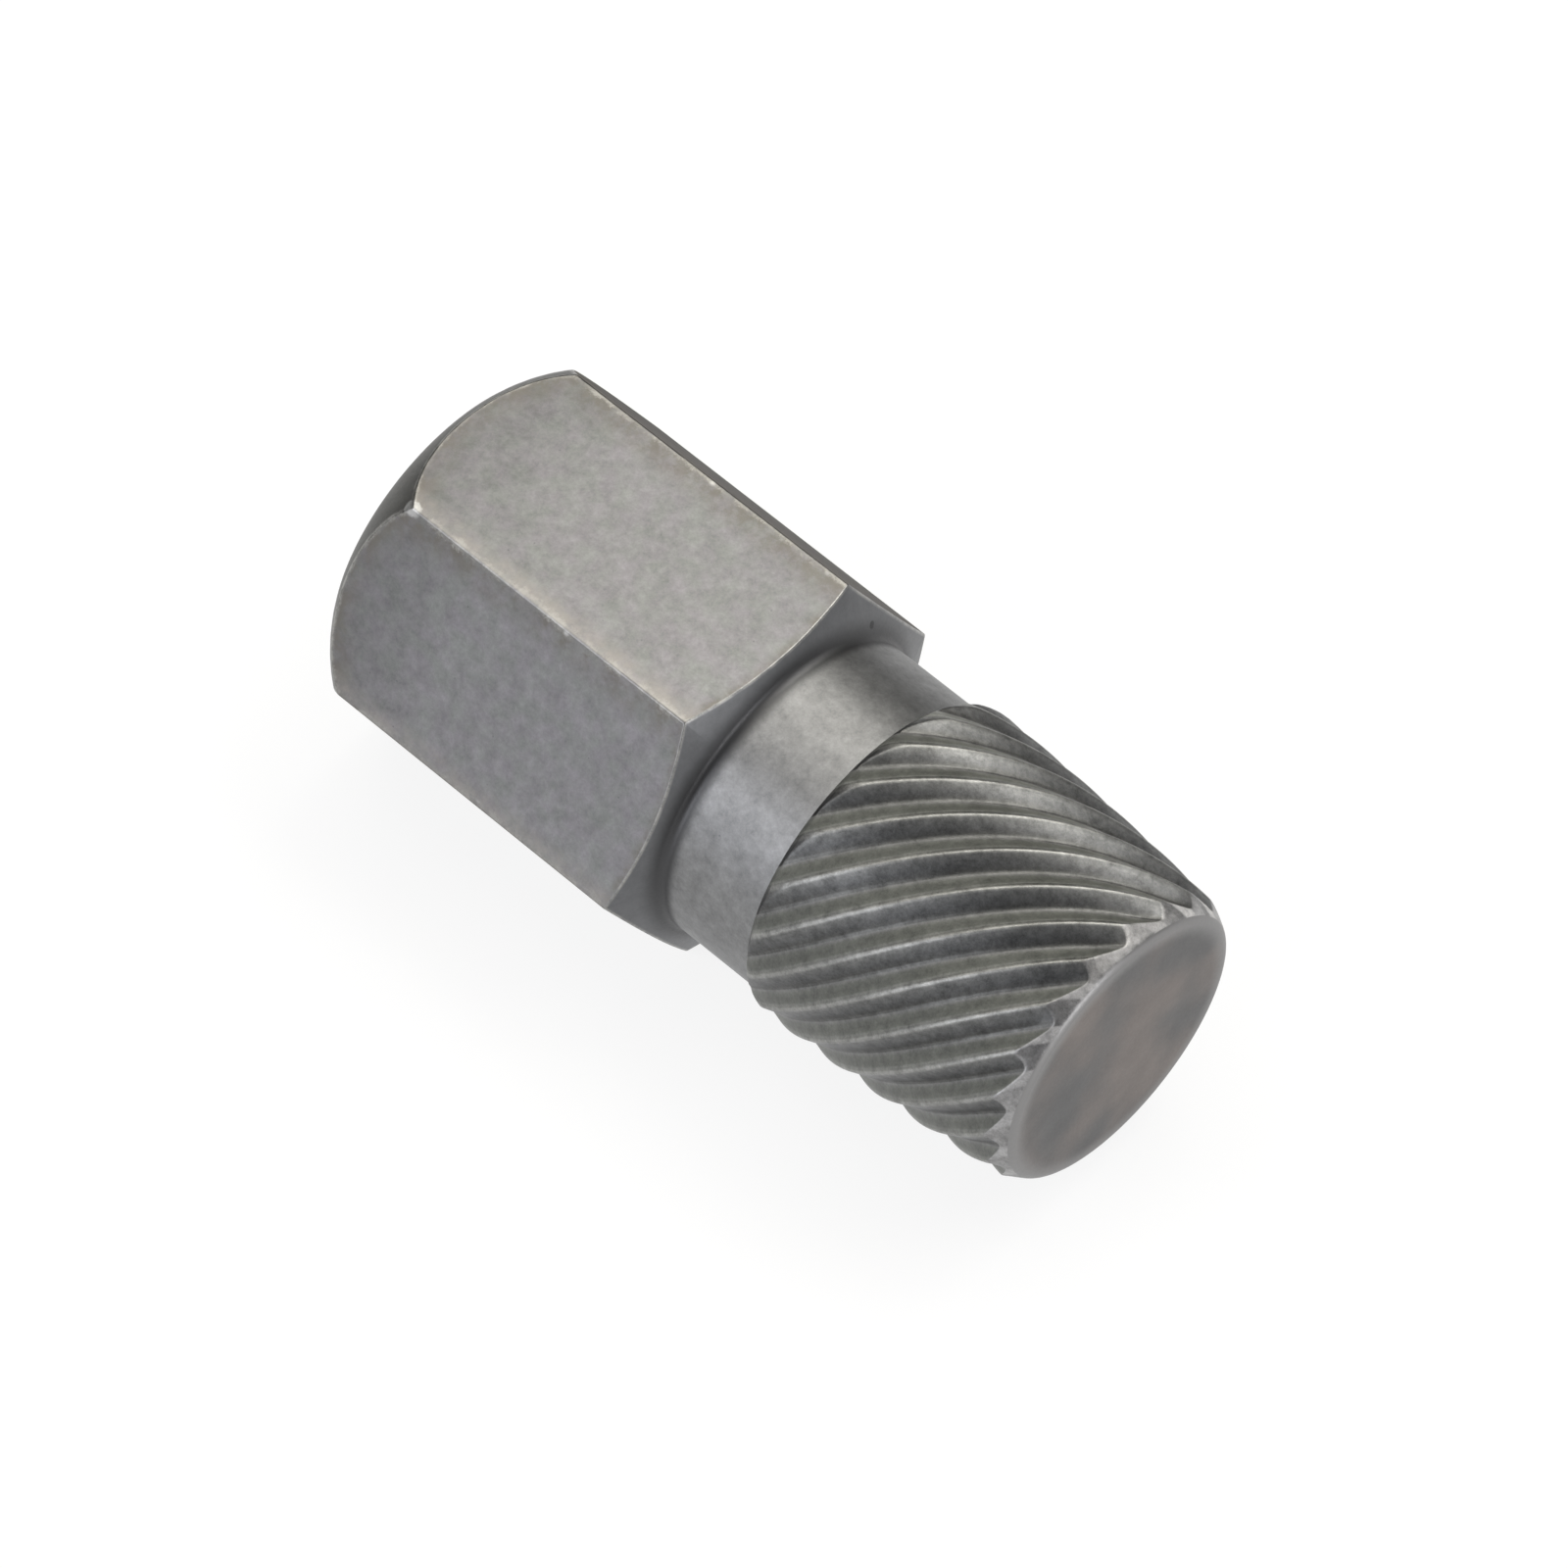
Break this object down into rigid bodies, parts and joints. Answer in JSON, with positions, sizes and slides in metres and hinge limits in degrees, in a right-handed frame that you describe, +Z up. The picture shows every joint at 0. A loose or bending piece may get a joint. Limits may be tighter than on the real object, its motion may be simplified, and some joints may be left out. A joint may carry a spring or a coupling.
{
  "type": "screw extractor",
  "caption": "Steel screw extractor: hexagonal drive with turned ends, round neck, and a short barrel-tapered end with left-hand spiral ridges that bite into a drilled hole.",
  "frame": {"origin": "centre of the flat face at the drive end, on the tool's axis", "axes": "+X along the tool's axis towards the ridged tip, +Z up out of one flat of the hexagon, which lies level, with the opposite flat underneath"},
  "size_m": [0.0288, 0.0146, 0.0126],
  "materials": {
    "steel": "bare hardened steel, fine matt mottle"
  },
  "bodies": {
    "root": {"extractor_body": "steel"}
  },
  "joints": []
}
